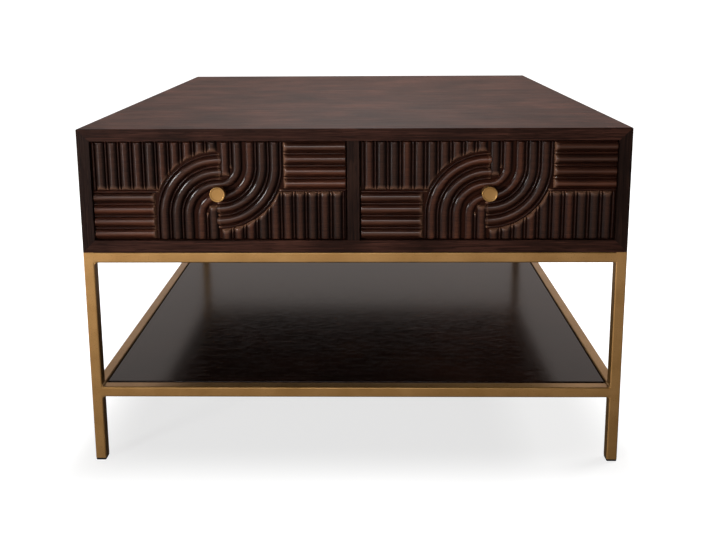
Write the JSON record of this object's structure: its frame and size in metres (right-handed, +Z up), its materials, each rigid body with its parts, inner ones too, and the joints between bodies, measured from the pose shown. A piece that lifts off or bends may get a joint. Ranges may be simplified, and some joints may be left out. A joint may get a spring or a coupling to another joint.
{
  "type": "coffee table",
  "caption": "Square coffee table with carved reeded drawer fronts in a dark wood case, on a gold square-tube frame with a lower shelf.",
  "frame": {"origin": "on the floor, under the centre of the table's overall box, knobs included", "axes": "+Z up; the drawers and knobs face -Y; +X to the right seen from the front; +Y from front to back"},
  "size_m": [0.75, 0.763, 0.485],
  "materials": {
    "stained_hardwood": "dark walnut stain, satin lacquer",
    "carved_hardwood": "dark walnut stain, satin lacquer, paler on the crests",
    "lacquered_shelf": "near-black brown stain, glossy lacquer",
    "drawer_wood": "plain hardwood, sealed",
    "drawer_plywood": "plywood, sealed",
    "gold_frame": "antique gold powder coat, satin",
    "knob_brass": "satin",
    "zinc_screw": "zinc plated",
    "foot_plastic": "moulded, matte"
  },
  "bodies": {
    "table": {"back_left_corner_plate": "gold_frame", "back_left_foot_plug": "foot_plastic", "back_left_leg": "gold_frame", "back_panel": "stained_hardwood", "back_right_corner_plate": "gold_frame", "back_right_foot_plug": "foot_plastic", "back_right_leg": "gold_frame", "bottom_panel": "stained_hardwood", "centre_partition": "stained_hardwood", "front_left_corner_plate": "gold_frame", "front_left_foot_plug": "foot_plastic", "front_left_leg": "gold_frame", "front_right_corner_plate": "gold_frame", "front_right_foot_plug": "foot_plastic", "front_right_leg": "gold_frame", "left_drawer_stop": "drawer_wood", "left_inner_runner": "drawer_wood", "left_outer_runner": "drawer_wood", "left_shelf_bearer": "gold_frame", "left_side": "stained_hardwood", "lower_back_rail": "gold_frame", "lower_front_rail": "gold_frame", "lower_left_rail": "gold_frame", "lower_right_rail": "gold_frame", "plate_screws": "zinc_screw", "right_drawer_stop": "drawer_wood", "right_inner_runner": "drawer_wood", "right_outer_runner": "drawer_wood", "right_shelf_bearer": "gold_frame", "right_side": "stained_hardwood", "shelf_panel": "lacquered_shelf", "top_back_rail": "gold_frame", "top_front_rail": "gold_frame", "top_left_rail": "gold_frame", "top_panel": "stained_hardwood", "top_right_rail": "gold_frame"},
    "left_drawer": {"left_drawer_back": "drawer_wood", "left_drawer_bottom": "drawer_plywood", "left_drawer_front": "carved_hardwood", "left_drawer_left_side": "drawer_wood", "left_drawer_right_side": "drawer_wood", "left_knob": "knob_brass", "left_knob_screw": "zinc_screw"},
    "right_drawer": {"right_drawer_back": "drawer_wood", "right_drawer_bottom": "drawer_plywood", "right_drawer_front": "carved_hardwood", "right_drawer_left_side": "drawer_wood", "right_drawer_right_side": "drawer_wood", "right_knob": "knob_brass", "right_knob_screw": "zinc_screw"}
  },
  "joints": [
    {"name": "left_drawer_slide", "type": "slide", "parent": "table", "child": "left_drawer", "axis": [0, -1, 0], "range_m": [0, 0.4]},
    {"name": "right_drawer_slide", "type": "slide", "parent": "table", "child": "right_drawer", "axis": [0, -1, 0], "range_m": [0, 0.4]}
  ]
}
